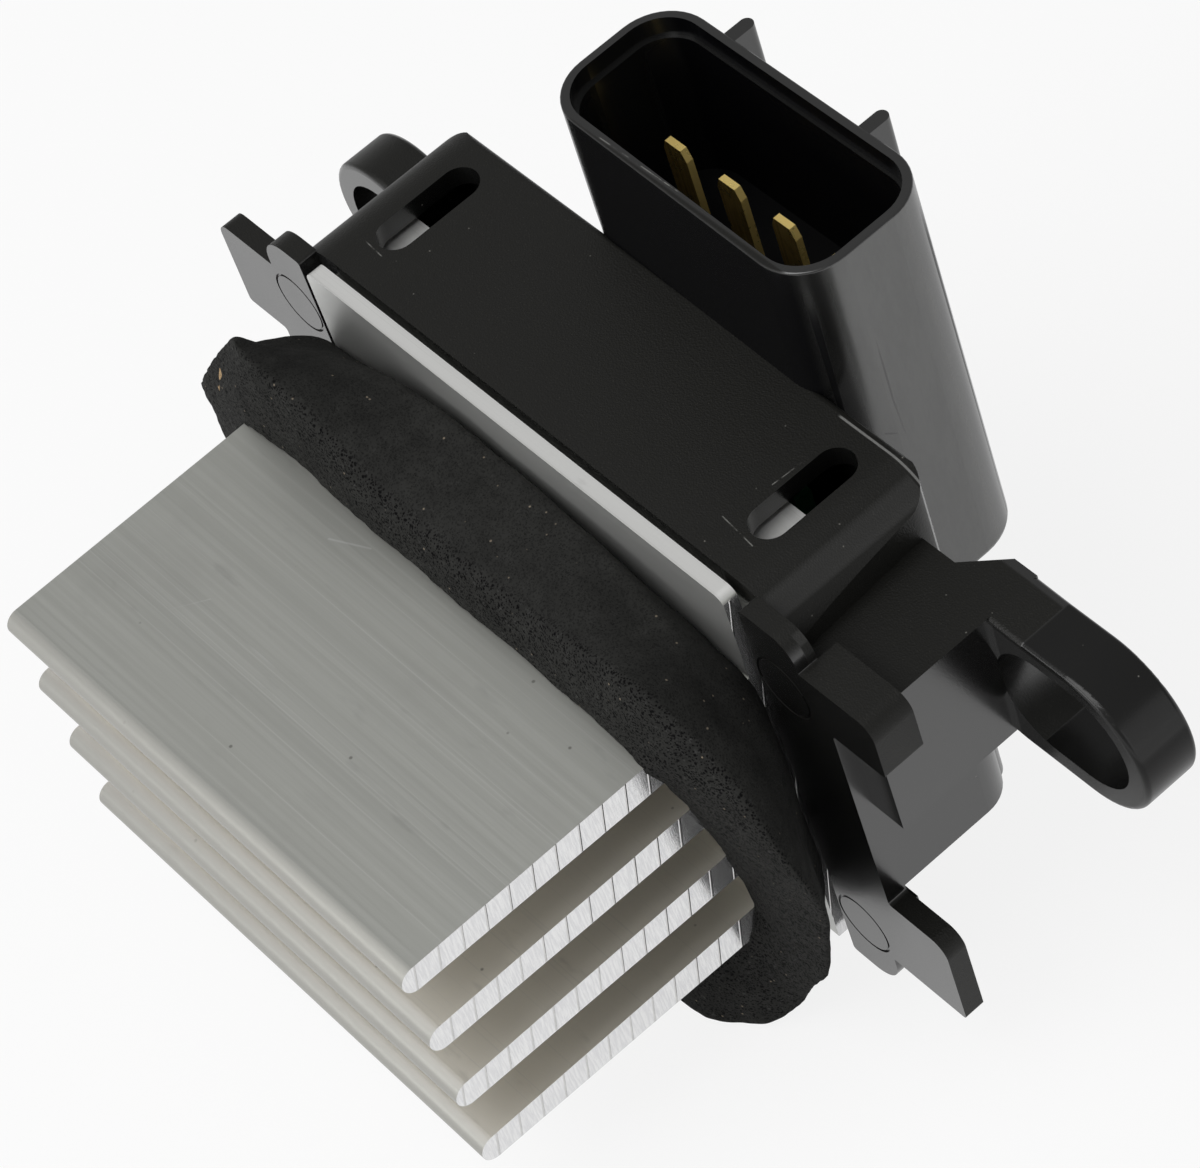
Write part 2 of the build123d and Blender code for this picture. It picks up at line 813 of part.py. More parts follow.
# Power transistors with their insulating pads: the tab lies on the pad, the moulded body on
# the tab, and three leads leave its foot and turn back into the board
for place, place_x in zip(("left", "right"), sides(transistor_x)):
    with BuildPart() as pad:
        with BuildSketch(across(pad_back)):
            with Locations((place_x, (tab_top + body_foot) / 2)):
                RectangleRounded(
                    transistor_width + 2 * pad_margin,
                    min(tab_top - body_foot + 2 * pad_margin, 2 * land_half - pad_margin),
                    pad_margin,
                )
            with Locations((place_x, screw_z)):
                Circle(screw_radius + washer_play, mode=Mode.SUBTRACT)
        extrude(amount=pad_thickness)
    pad.part.label = f"insulating_pad_{place}"
    export_step(pad.part, f"parts/insulating_pad_{place}.step")

    with BuildPart() as tab:
        with BuildSketch(across(tab_back)):
            with Locations((place_x, (tab_top + body_foot) / 2)):
                RectangleRounded(transistor_width, tab_top - body_foot, tab_corner)
            with Locations((place_x, screw_z)):
                Circle(screw_radius + washer_play, mode=Mode.SUBTRACT)
        extrude(amount=tab_thickness)
    tab.part.label = f"transistor_tab_{place}"
    export_step(tab.part, f"parts/transistor_tab_{place}.step")

    with BuildPart() as body:
        with BuildSketch(across(tab_back)):
            with Locations((place_x, (body_top + body_foot) / 2)):
                Rectangle(transistor_width, body_height)
        extrude(amount=-(body_back - tab_back), taper=body_taper)
        fillet(edges().filter_by(Axis.X).group_by(Axis.Y)[-1], body_edge_radius)
    body.part.label = f"transistor_body_{place}"
    export_step(body.part, f"parts/transistor_body_{place}.step")

    with BuildPart() as leads:
        for i in (-1, 0, 1):
            lead_x = place_x + i * lead_pitch
            with BuildSketch(Plane.YZ.offset(lead_x)):
                with BuildLine():
                    FilletPolyline(
                        (lead_y - lead_thickness / 2, body_foot + body_edge_radius),
                        (lead_y - lead_thickness / 2, lead_z - lead_thickness / 2),
                        (lead_stub, lead_z - lead_thickness / 2),
                        (lead_stub, lead_z + lead_thickness / 2),
                        (lead_y + lead_thickness / 2, lead_z + lead_thickness / 2),
                        (lead_y + lead_thickness / 2, body_foot + body_edge_radius),
                        close=True,
                        radius=[0, 2 * lead_thickness, 0, 0, lead_thickness, 0],
                    )
                make_face()
            extrude(amount=lead_width / 2, both=True)
        add(body.part, mode=Mode.SUBTRACT)
    leads.part.label = f"transistor_leads_{place}"
    export_step(leads.part, f"parts/transistor_leads_{place}.step")


# Screws: a round head with a cross recess, and a plain shank where the thread is
with BuildPart() as transistor_screws:
    with BuildSketch(across(washer_back)):
        with Locations(*[(x, screw_z) for x in sides(transistor_x)]):
            Circle(screw_radius)
    extrude(amount=washer_back - land_back + screw_bite)
    with BuildSketch(across(washer_back)):
        with Locations(*[(x, screw_z) for x in sides(transistor_x)]):
            Circle(screw_head_radius)
    extrude(amount=-screw_head_height)
    fillet(faces().sort_by(Axis.Y)[-2:].edges(), screw_head_height / 3)
    with BuildSketch(across(washer_back + screw_head_height)):
        with Locations(*[(x, screw_z) for x in sides(transistor_x)]):
            Rectangle(2 * screw_recess_radius, screw_recess_radius / 2)
            Rectangle(screw_recess_radius / 2, 2 * screw_recess_radius)
    extrude(amount=screw_recess_depth, mode=Mode.SUBTRACT)

transistor_screws.part.label = "transistor_screws"
export_step(transistor_screws.part, "parts/transistor_screws.step")

with BuildPart() as screw_washers:
    with BuildSketch(across(washer_back)):
        with Locations(*[(x, screw_z) for x in sides(transistor_x)]):
            Circle(washer_radius)
            Circle(screw_radius + washer_play, mode=Mode.SUBTRACT)
    extrude(amount=washer_thickness)

screw_washers.part.label = "screw_washers"
export_step(screw_washers.part, "parts/screw_washers.step")

with BuildPart() as heat_sink_screws:
    with BuildSketch(across(head_seat)):
        with Locations(*[(x, -screw_z) for x in sides(column_x)]):
            Circle(screw_radius)
    extrude(amount=head_seat - land_back + screw_bite)
    with BuildSketch(across(head_seat)):
        with Locations(*[(x, -screw_z) for x in sides(column_x)]):
            Circle(screw_head_radius)
    extrude(amount=-screw_head_height)
    fillet(faces().sort_by(Axis.Y)[-2:].edges(), screw_head_height / 3)
    with BuildSketch(across(head_seat + screw_head_height)):
        with Locations(*[(x, -screw_z) for x in sides(column_x)]):
            Rectangle(2 * screw_recess_radius, screw_recess_radius / 2)
            Rectangle(screw_recess_radius / 2, 2 * screw_recess_radius)
    extrude(amount=screw_recess_depth, mode=Mode.SUBTRACT)

heat_sink_screws.part.label = "heat_sink_screws"
export_step(heat_sink_screws.part, "parts/heat_sink_screws.step")


# Shunt resistor, a strip of resistance metal that stands off the board on two legs
with BuildPart() as shunt_resistor:
    shunt_front = board_front - shunt_height
    with BuildSketch(Plane.XY.offset(shunt_z)):
        with BuildLine():
            FilletPolyline(
                (-shunt_span / 2, board_front),
                (-shunt_span / 2, shunt_front),
                (shunt_span / 2, shunt_front),
                (shunt_span / 2, board_front),
                (shunt_span / 2 - shunt_thickness, board_front),
                (shunt_span / 2 - shunt_thickness, shunt_front + shunt_thickness),
                (shunt_thickness - shunt_span / 2, shunt_front + shunt_thickness),
                (shunt_thickness - shunt_span / 2, board_front),
                close=True,
                radius=[
                    0,
                    shunt_bend_radius + shunt_thickness,
                    shunt_bend_radius + shunt_thickness,
                    0,
                    0,
                    shunt_bend_radius,
                    shunt_bend_radius,
                    0,
                ],
            )
        make_face()
    extrude(amount=shunt_width / 2, both=True)
    with BuildSketch(across(lead_stub)):
        with Locations(*[(x, shunt_z) for x in shunt_xs]):
            Rectangle(shunt_thickness, shunt_pin_width)
    extrude(amount=lead_stub - board_front)

shunt_resistor.part.label = "shunt_resistor"
export_step(shunt_resistor.part, "parts/shunt_resistor.step")


# Filter capacitor, a can that lies along the board between the transistors
with BuildPart() as filter_capacitor:
    with BuildSketch(Plane.YZ):
        with BuildLine():
            Polyline(
                (can_y, can_foot),
                (can_y + can_radius - can_groove, can_foot),
                (can_y + can_radius, can_foot + can_groove),
                (can_y + can_radius, can_foot + can_groove_low),
                (can_y + can_radius - can_groove, can_foot + can_groove_low + can_groove),
                (can_y + can_radius, can_foot + can_groove_low + 2 * can_groove),
                (can_y + can_radius, can_foot + can_length - can_groove),
                (can_y + can_radius - can_groove, can_foot + can_length),
                (can_y, can_foot + can_length),
                close=True,
            )
        make_face()
    revolve(axis=Axis((0, can_y, 0), (0, 0, 1)))

filter_capacitor.part.label = "filter_capacitor"
export_step(filter_capacitor.part, "parts/filter_capacitor.step")

with BuildPart() as capacitor_leads:
    for lead_x in can_lead_xs:
        with BuildLine(Plane.YZ.offset(lead_x)) as lead_line:
            FilletPolyline(
                (can_y, can_foot),
                (can_y, can_lead_z),
                (lead_stub, can_lead_z),
                radius=can_lead_bend,
            )
        with BuildSketch(Plane((lead_x, can_y, can_foot), z_dir=(0, 0, -1))):
            Circle(can_lead_radius)
        sweep(path=lead_line.line)

capacitor_leads.part.label = "capacitor_leads"
export_step(capacitor_leads.part, "parts/capacitor_leads.step")


# Control chip on the back of the board, with two rows of legs
with BuildPart() as control_chip:
    with BuildSketch(across(board_back + chip_leg_thickness)):
        with Locations((chip_x, chip_z)):
            Rectangle(chip_length, chip_width)
    extrude(amount=-chip_height)
    chamfer(faces().sort_by(Axis.Y)[-1].edges(), chip_leg_thickness)

control_chip.part.label = "control_chip"
export_step(control_chip.part, "parts/control_chip.step")

with BuildPart() as chip_legs:
    leg_rise = chip_height / 2
    for row in (-1, 1):
        for i in range(chip_leg_count):
            leg_x = chip_x + (i - (chip_leg_count - 1) / 2) * chip_leg_pitch
            with BuildSketch(Plane.YZ.offset(leg_x)):
                with BuildLine():
                    edge_z = chip_z + row * chip_width / 2
                    out_z = edge_z + row * chip_leg_reach
                    knee_z = edge_z + row * chip_leg_reach / 2
                    Polyline(
                        (board_back, out_z),
                        (board_back + chip_leg_thickness, out_z),
                        (board_back + chip_leg_thickness, knee_z),
                        (board_back + leg_rise + chip_leg_thickness, knee_z),
                        (board_back + leg_rise + chip_leg_thickness, edge_z),
                        (board_back + leg_rise, edge_z),
                        (board_back + leg_rise, knee_z - row * chip_leg_thickness),
                        (board_back, knee_z - row * chip_leg_thickness),
                        close=True,
                    )
                make_face()
            extrude(amount=chip_leg_width / 2, both=True)

chip_legs.part.label = "chip_legs"
export_step(chip_legs.part, "parts/chip_legs.step")


# Small chip parts: blocks with a metal end at both sides
for name, places in (("chip_resistors", resistor_places), ("chip_capacitors", capacitor_places)):
    with BuildPart() as chips:
        with BuildSketch(across(board_back)):
            with Locations(*places):
                Rectangle(small_length, small_width)
        extrude(amount=-small_height)
        with BuildSketch(across(board_back)):
            with Locations(*places):
                with GridLocations(small_length - small_end, 0, 2, 1):
                    Rectangle(small_end, small_width + 2 * small_lip)
        extrude(amount=-(small_height + small_lip))
    chips.part.label = name
    export_step(chips.part, f"parts/{name}.step")


# Zener diode that clamps the supply, a block on two flat feet
with BuildPart() as zener_diode:
    with BuildSketch(across(board_back + diode_leg_thickness)):
        with Locations((diode_x, diode_z)):
            Rectangle(diode_width, diode_length)
    extrude(amount=-(diode_height - diode_leg_thickness), taper=body_taper)
    with BuildSketch(across(board_back)):
        with Locations((diode_x, diode_z)):
            Rectangle(diode_leg_width, diode_length + 2 * diode_leg_reach)
    extrude(amount=-diode_leg_thickness)

zener_diode.part.label = "zener_diode"
export_step(zener_diode.part, "parts/zener_diode.step")


# Solder joints, a cone of solder round each lead
with BuildPart() as solder_joints:
    with BuildSketch(across(board_back)):
        with Locations(
            *[(x, lead_z) for x in transistor_lead_xs],
            *[(x, can_lead_z) for x in can_lead_xs],
            *[(x, shunt_z) for x in shunt_xs],
        ):
            Circle(solder_radius)
    extrude(amount=-solder_height, taper=solder_taper)
    with BuildSketch(across(board_front)):
        with Locations(*[(x, terminal_leg_z) for x in blade_xs]):
            Circle(solder_radius)
    extrude(amount=solder_height, taper=solder_taper)
    with BuildSketch(across(lead_stub)):
        with Locations(*[(x, lead_z) for x in transistor_lead_xs]):
            Rectangle(lead_width, lead_thickness)
        with Locations(*[(x, can_lead_z) for x in can_lead_xs]):
            Circle(can_lead_radius)
        with Locations(*[(x, shunt_z) for x in shunt_xs]):
            Rectangle(shunt_thickness, shunt_pin_width)
        with Locations(*[(x, terminal_leg_z) for x in blade_xs]):
            Rectangle(terminal_pin_width, blade_thickness)
    extrude(amount=lead_stub - pin_end, mode=Mode.SUBTRACT)

solder_joints.part.label = "solder_joints"
export_step(solder_joints.part, "parts/solder_joints.step")
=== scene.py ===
"""Blower motor resistor: the looks of its metal, mouldings and foam, and the studio round it."""

import math

import bmesh
import bpy
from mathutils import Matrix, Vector, noise


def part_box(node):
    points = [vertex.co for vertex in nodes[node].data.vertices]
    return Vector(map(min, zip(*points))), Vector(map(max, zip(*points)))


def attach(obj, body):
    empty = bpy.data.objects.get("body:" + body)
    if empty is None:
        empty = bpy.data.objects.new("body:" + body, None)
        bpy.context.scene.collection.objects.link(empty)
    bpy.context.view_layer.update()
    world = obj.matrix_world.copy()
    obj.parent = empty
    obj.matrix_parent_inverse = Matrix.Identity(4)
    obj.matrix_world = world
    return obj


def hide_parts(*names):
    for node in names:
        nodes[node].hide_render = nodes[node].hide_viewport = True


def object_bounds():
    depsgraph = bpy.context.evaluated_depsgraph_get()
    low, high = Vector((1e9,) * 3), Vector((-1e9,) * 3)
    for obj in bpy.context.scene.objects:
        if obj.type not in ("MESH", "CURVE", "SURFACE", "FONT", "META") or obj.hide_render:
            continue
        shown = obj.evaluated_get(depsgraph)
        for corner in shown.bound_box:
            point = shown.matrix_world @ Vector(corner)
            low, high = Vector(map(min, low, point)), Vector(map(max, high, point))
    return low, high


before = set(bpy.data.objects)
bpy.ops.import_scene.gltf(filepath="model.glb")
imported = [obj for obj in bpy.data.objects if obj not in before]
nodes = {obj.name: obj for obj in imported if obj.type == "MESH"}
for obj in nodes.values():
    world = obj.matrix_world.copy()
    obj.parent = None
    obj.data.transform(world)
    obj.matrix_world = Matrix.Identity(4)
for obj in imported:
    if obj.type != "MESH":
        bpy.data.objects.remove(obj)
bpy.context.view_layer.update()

MM = 0.001

# The heat sink, in metres, and half the height of the foam's hole round its fins, in millimetres
sink_low, sink_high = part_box("heat_sink")
fin_end = sink_high.x
hole_half_height = 13.8

# Faces that marks are drawn on, in millimetres
fin_top = 13.7
cover_top = 23.5
shroud_side = 19.3
shroud_mouth = 37.5


# ---------------------------------------------------------------- material helpers
class Finish:
    """One procedural material, with short ways to add the nodes that all of them use."""

    def __init__(self, name):
        self.material = bpy.data.materials.new(name)
        self.material.use_nodes = True
        self.tree = self.material.node_tree
        self.shader = self.tree.nodes["Principled BSDF"]
        self.place = self.add("ShaderNodeTexCoord").outputs["Object"]
        self.facing = self.add("ShaderNodeTexCoord").outputs["Normal"]

    def add(self, kind, **settings):
        node = self.tree.nodes.new(kind)
        for key, value in settings.items():
            setattr(node, key, value)
        return node

    def join(self, output, socket):
        self.tree.links.new(output, socket)

    def give(self, value, socket):
        """Sets a socket to a number or a vector, or joins an output to it."""
        if isinstance(value, (int, float, Vector)):
            socket.default_value = value
        else:
            self.join(value, socket)

    # patterns
    def cloud(self, scale, detail=4.0, roughness=0.6, where=None):
        """Noise with grains about 1 / scale across."""
        node = self.add("ShaderNodeTexNoise")
        node.inputs["Scale"].default_value = scale
        node.inputs["Detail"].default_value = detail
        node.inputs["Roughness"].default_value = roughness
        self.join(where or self.place, node.inputs["Vector"])
        return node.outputs["Fac"]

    def streaks(self, scale, detail=4.0, roughness=0.6, turn=(0, 0, 0)):
        """Noise with grains about 1 / scale long, another length along each axis."""
        mapping = self.add("ShaderNodeMapping")
        mapping.inputs["Scale"].default_value = scale
        mapping.inputs["Rotation"].default_value = turn
        self.join(self.place, mapping.inputs["Vector"])
        return self.cloud(1.0, detail, roughness, mapping.outputs["Vector"])

    def cells(self, scale):
        """Distance to the nearest of a scatter of points about 1 / scale apart."""
        node = self.add("ShaderNodeTexVoronoi")
        node.inputs["Scale"].default_value = scale
        self.join(self.place, node.inputs["Vector"])
        return node.outputs["Distance"]

    # sums
    def sums(self, operation, first, second=0.0):
        node = self.add("ShaderNodeMath", operation=operation)
        self.give(first, node.inputs[0])
        self.give(second, node.inputs[1])
        return node.outputs[0]

    def vector_sums(self, operation, first, second=None):
        node = self.add("ShaderNodeVectorMath", operation=operation)
        self.give(first, node.inputs[0])
        if second is not None:
            self.give(second, node.inputs[1])
        return node

    def times(self, first, *others):
        for other in others:
            first = self.sums("MULTIPLY", first, other)
        return first

    def largest(self, first, *others):
        for other in others:
            first = self.sums("MAXIMUM", first, other)
        return first

    def ramp(self, value, low, high, out_low=0.0, out_high=1.0, kind="SMOOTHSTEP"):
        """value from low..high to out_low..out_high, held at the ends."""
        node = self.add("ShaderNodeMapRange", interpolation_type=kind)
        for key, number in (
            ("From Min", low), ("From Max", high), ("To Min", out_low), ("To Max", out_high)
        ):
            node.inputs[key].default_value = number
        self.join(value, node.inputs["Value"])
        return node.outputs["Result"]

    def fall(self, value, low, high):
        """1 up to low and 0 from high on."""
        return self.ramp(value, low, high, 1.0, 0.0)

    def band(self, value, low, high, soft):
        """1 between low and high, falling to 0 over soft on both sides."""
        return self.times(self.ramp(value, low - soft, low), self.fall(value, high, high + soft))

    # places, in millimetres
    def axis(self, output, name):
        node = self.add("ShaderNodeSeparateXYZ")
        self.join(output, node.inputs[0])
        return node.outputs[name]

    def past(self, place, start, soft):
        """0 up to start, rising to 1 over soft."""
        return self.ramp(place, start * MM, (start + soft) * MM)

    def before(self, place, end, soft):
        """1 up to end, falling to 0 over soft."""
        return self.fall(place, end * MM, (end + soft) * MM)

    def within(self, place, low, high, soft):
        """1 between low and high, falling to 0 over soft on both sides."""
        return self.band(place, low * MM, high * MM, soft * MM)

    def squarely(self, name):
        """How squarely a face looks along an axis, whichever way."""
        return self.sums("ABSOLUTE", self.axis(self.facing, name))

    def stroke(self, start, end, width):
        """1 on a fine line from start to end, in millimetres, fading over its width."""
        run = Vector(end) - Vector(start)
        away = self.vector_sums("SUBTRACT", self.place, Vector(start) * MM).outputs["Vector"]
        share = self.vector_sums("DOT_PRODUCT", away, run / (run.length_squared * MM))
        share = self.ramp(share.outputs["Value"], 0.0, 1.0, kind="LINEAR")
        along = self.vector_sums("SCALE", run * MM)
        self.join(share, along.inputs["Scale"])
        rest = self.vector_sums("SUBTRACT", away, along.outputs["Vector"]).outputs["Vector"]
        far = self.vector_sums("LENGTH", rest).outputs["Value"]
        return self.before(far, 0.4 * width, 0.6 * width)

    def strokes(self, lines, width):
        """All of several fine lines."""
        return self.largest(*(self.stroke(start, end, width) for start, end in lines))

    # results
    def blend(self, factor, first, second, share=None):
        """A colour between first and second, with no more than a share of the second."""
        node = self.add("ShaderNodeMix", data_type="RGBA")
        if share is not None:
            factor = self.times(factor, share)
        self.join(factor, node.inputs["Factor"])
        for name, value in (("A_Color", first), ("B_Color", second)):
            socket = next(s for s in node.inputs if s.identifier == name)
            if isinstance(value, tuple):
                socket.default_value = (*value, 1)
            else:
                self.join(value, socket)
        return next(s for s in node.outputs if s.identifier == "Result_Color")

    def relief(self, height, depth, strength, under=None):
        """Bump of a height field, depth in millimetres."""
        node = self.add("ShaderNodeBump")
        node.inputs["Distance"].default_value = depth * MM
        node.inputs["Strength"].default_value = strength
        self.join(height, node.inputs["Height"])
        if under is not None:
            self.join(under, node.inputs["Normal"])
        return node.outputs["Normal"]

    def set(self, **values):
        names = {
            "colour": "Base Color", "rough": "Roughness", "metal": "Metallic", "bump": "Normal",
            "gleam": "Specular IOR Level",
        }
        for key, value in values.items():
            self.give(value, self.shader.inputs[names[key]])
        return self.material


def dress(material, *names):
    for name in names:
        mesh = nodes[name].data
        mesh.materials.clear()
        mesh.materials.append(material)


# ---------------------------------------------------------------- materials
def extruded_aluminium():
    """Drawn faces with fine lines along the fins, and sawn ends with the blade's steps."""
    finish = Finish("extruded_aluminium")
    depth = finish.axis(finish.place, "Y")
    height = finish.axis(finish.place, "Z")
    end = finish.ramp(finish.squarely("X"), 0.9, 0.95)

    # drawn metal: lines along the extrusion, broad bands, clouds and slanted scratches
    lines = finish.streaks((18, 2600, 2600), roughness=0.65)
    broad = finish.streaks((6, 240, 240), detail=2.0, roughness=0.5)
    clouds = finish.cloud(70)
    slant = (0.3, 0.2, 0.5)
    scratches = finish.streaks((45, 900, 900), detail=2.0, roughness=0.4, turn=slant)
    scratches = finish.ramp(scratches, 0.72, 0.78)
    drawn = finish.blend(broad, (0.45, 0.455, 0.425), (0.49, 0.495, 0.46))
    drawn = finish.blend(finish.ramp(lines, 0.35, 0.7, 0.0, 0.5), drawn, (0.53, 0.535, 0.505))
    drawn = finish.blend(finish.ramp(clouds, 0.55, 0.75, 0.0, 0.3), drawn, (0.41, 0.41, 0.385))
    drawn = finish.blend(scratches, drawn, (0.7, 0.7, 0.69), share=0.4)

    # painted light between the fins: the faces between the outermost fins are painted paler than
    # the outermost fins' outsides, for the light that reaches into the gaps
    inside_outer_fins = 12.6
    gap_painted_light = finish.times(
        finish.before(finish.sums("ABSOLUTE", height), inside_outer_fins, 0.2),
        finish.ramp(finish.squarely("Z"), 0.8, 0.95),
    )
    drawn = finish.blend(gap_painted_light, drawn, (0.8, 0.775, 0.715))

    # bright lip along the plate's upper edge, and painted light on the shelf behind it under the
    # cover, lifting it out of the shade of the slots
    lip_top, shelf_front = 22.4, 3.4
    lip = finish.times(
        finish.past(height, lip_top, 0.4), finish.ramp(finish.axis(finish.facing, "Z"), 0.5, 0.9)
    )
    shelf_painted_light = finish.past(depth, shelf_front, 0.6)
    drawn = finish.blend(finish.largest(lip, shelf_painted_light), drawn, (0.9, 0.9, 0.88))

    # wear: fine bright lines, dark rubs, pits and four short scratches on the top fin
    fine_lines = finish.streaks((9, 5200, 5200), detail=2.0, roughness=0.5)
    fine_lines = finish.ramp(fine_lines, 0.62, 0.7)
    drawn = finish.blend(fine_lines, drawn, (0.62, 0.62, 0.6), share=0.28)
    rubs = finish.ramp(finish.streaks((160, 520, 520), detail=3.0), 0.6, 0.8)
    drawn = finish.blend(rubs, drawn, (0.3, 0.3, 0.285), share=0.35)
    pits = finish.fall(finish.cells(260), 0.02, 0.055)
    drawn = finish.blend(pits, drawn, (0.16, 0.155, 0.14), share=0.7)
    marks = finish.strokes((
        ((11.2, -32.3, fin_top), (12.8, -30.0, fin_top)),
        ((-10.9, -12.9, fin_top), (-7.4, -11.3, fin_top)),
        ((13.5, -28.6, fin_top), (14.4, -26.7, fin_top)),
        ((-15.8, -25.9, fin_top), (-13.9, -23.0, fin_top)),
    ), width=0.13)
    drawn = finish.blend(marks, drawn, (0.8, 0.8, 0.8), share=0.3)

    # greyer where the plate's edges and the shelf don't look forward, and on the fins' tips
    plate_front = -0.3
    inside = finish.times(
        finish.fall(finish.axis(finish.facing, "Y"), -0.9, -0.6),
        finish.past(depth, plate_front, 0.2),
    )
    drawn = finish.blend(inside, drawn, (0.66, 0.665, 0.645))
    tips = finish.before(depth, sink_low.y / MM + 0.8, 0.8)
    drawn = finish.blend(tips, drawn, (0.36, 0.355, 0.33), share=0.8)

    # the saw's steps run across the fins, evenly apart and a little slanted
    saw_pitch, saw_lean = 2.35, 0.183
    travel = finish.sums("SUBTRACT", depth, finish.times(height, saw_lean))
    step = finish.sums("FRACT", finish.sums("DIVIDE", travel, saw_pitch * MM))
    tick = finish.band(step, 0.47, 0.5, 0.045)
    fine = finish.streaks((200, 6000, 500), detail=3.0, roughness=0.7)
    sawn = finish.blend(finish.ramp(fine, 0.4, 0.62), (0.76, 0.76, 0.77), (0.86, 0.86, 0.86))
    sawn = finish.blend(tick, sawn, (0.5, 0.49, 0.47), share=0.5)

    rough = finish.sums(
        "SUBTRACT", finish.ramp(lines, 0.2, 0.8, 0.4, 0.47), finish.times(end, 0.29)
    )
    rough = finish.sums("SUBTRACT", rough, finish.times(inside, 0.05))
    along = finish.relief(lines, depth=0.008, strength=0.4)
    steps = finish.times(finish.sums("ADD", tick, finish.times(fine, 0.08)), end)
    return finish.set(
        colour=finish.blend(end, drawn, sawn),
        rough=rough,
        metal=0.82,
        bump=finish.relief(steps, depth=0.05, strength=0.9, under=along),
    )


def moulded_housing():
    """Filled plastic: grained and dull on the worked tops, smooth and glossy on the sides."""
    finish = Finish("moulded_housing")
    across = finish.axis(finish.place, "X")
    depth = finish.axis(finish.place, "Y")
    height = finish.axis(finish.place, "Z")
    rightward = finish.axis(finish.facing, "X")
    backward = finish.axis(finish.facing, "Y")
    upward = finish.axis(finish.facing, "Z")

    # grained: the tops as far as the wing's bend and the case's back
    wing_bend, case_back = 42.4, 18.2
    tops = finish.times(
        finish.ramp(upward, 0.3, 0.9),
        finish.before(across, wing_bend, 0.2),
        finish.before(depth, case_back, 0.4),
    )
    # the case's right end has the same grain
    case_foot = 8.0
    case_end = finish.times(
        finish.within(across, 24.0, 33.0, 0.8),
        finish.past(height, case_foot, 1.0),
        finish.within(depth, 1.5, 17.3, 0.2),
    )
    # so have the ends of the right tabs, above and below
    tab_root, tab_back, upper_tab_foot, lower_tab_top = 35.8, 4.3, 14.2, -8.0
    tab_end = finish.times(
        finish.past(across, tab_root, 0.2),
        finish.before(depth, tab_back, 0.2),
        finish.largest(
            finish.past(height, upper_tab_foot, 0.3), finish.before(height, lower_tab_top, 0.3)
        ),
        finish.fall(finish.squarely("Y"), 0.6, 0.9),
    )
    worked = finish.largest(tops, case_end, tab_end)

    # the socket's inside: dull, and with painted shade that darkens it, below a smoother band at
    # its mouth
    deep = finish.times(
        finish.within(across, -11.4, 18.0, 0.1),
        finish.within(depth, 18.9, 30.9, 0.1),
        finish.before(height, 30.0, 6.5),
    )
    # dull from the wing's outer part to the ear, and on the shroud's face over the cover
    ear_root, ear_front, shroud_front = 39.2, 12.8, 17.0
    outer = finish.times(finish.past(across, wing_bend, 0.3), 0.7)
    ear_wall = finish.times(
        finish.past(across, ear_root, 0.4),
        finish.past(depth, ear_front, 0.4),
        finish.fall(upward, 0.2, 0.6),
    )
    shroud_face = finish.times(
        finish.within(across, -9.0, 18.6, 5.0),
        finish.past(depth, shroud_front, 0.2),
        finish.fall(backward, -0.9, -0.7),
    )
    dull = finish.largest(outer, ear_wall, shroud_face)
    # painted sheen: the shroud's right side is painted paler, for the light its gloss catches
    painted_side_sheen = finish.times(
        finish.within(across, 18.4, 20.4, 0.3),
        finish.past(depth, shroud_front, 0.4),
        finish.ramp(rightward, 0.85, 0.98),
    )
    # polished by the mould where the cover turns down to its right side
    turned = finish.times(case_end, finish.band(upward, 0.66, 0.84, 0.14))
    # painted highlight along the back edge of the case
    back_edge_highlight = finish.times(
        finish.within(depth, 17.6, 17.75, 0.05),
        finish.within(across, 20.0, 32.0, 0.5),
        finish.past(height, 14.0, 2.0),
    )
    # the mould's parting line and a nick on the shroud's side
    parting = finish.strokes((
        ((19.5, 22.9, 36.0), (shroud_side, 22.8, 20.1)),
        ((shroud_side, 22.8, 20.1), (shroud_side, 23.0, 16.0)),
        ((shroud_side, 21.3, 17.4), (shroud_side, 22.3, 16.6)),
    ), width=0.12)
    # scribed lines round the cover's slots, on the shroud's mouth and on its side, worn in places
    scribed = finish.strokes((
        ((19.9, 5.4, cover_top), (23.8, 5.0, cover_top)),
        ((20.8, 12.7, cover_top), (20.6, 9.9, cover_top)),
        ((-25.6, 5.4, cover_top), (-20.6, 5.0, cover_top)),
        ((-5.1, 18.5, shroud_mouth), (5.1, 18.7, shroud_mouth)),
        ((shroud_side, 28.5, 2.5), (shroud_side, 23.9, 1.9)),
    ), width=0.07)
    scribed = finish.times(scribed, finish.ramp(finish.cloud(900, detail=2.0), 0.42, 0.62))

    haze = finish.cloud(60)
    sparkle = finish.times(finish.fall(finish.cells(3100), 0.0, 0.2), worked)
    speck = finish.fall(finish.cells(430), 0.0, 0.045)
    # streaks that break up the painted sheen on the shroud's right side
    sheen_streaks = finish.ramp(finish.streaks((150, 420, 120), roughness=0.7), 0.35, 0.65, 0.8, 1.0)
    colour = finish.blend(haze, (0.004, 0.004, 0.0038), (0.007, 0.007, 0.0066))
    colour = finish.blend(worked, colour, (0.0088, 0.0087, 0.0072), share=0.8)
    colour = finish.blend(sparkle, colour, (0.06, 0.058, 0.048), share=0.35)
    colour = finish.blend(speck, colour, (0.3, 0.29, 0.26), share=0.6)
    colour = finish.blend(finish.times(painted_side_sheen, sheen_streaks), colour, (0.07, 0.071, 0.068))
    colour = finish.blend(back_edge_highlight, colour, (0.16, 0.16, 0.155))
    colour = finish.blend(scribed, colour, (0.14, 0.14, 0.13))
    colour = finish.blend(parting, colour, (0.002, 0.002, 0.002))
    # painted shade: the socket's inside and the shroud's face over the cover are painted darker
    # still, for the shade that lies on them
    colour = finish.blend(finish.largest(deep, shroud_face), colour, (0.0018, 0.0018, 0.0022))

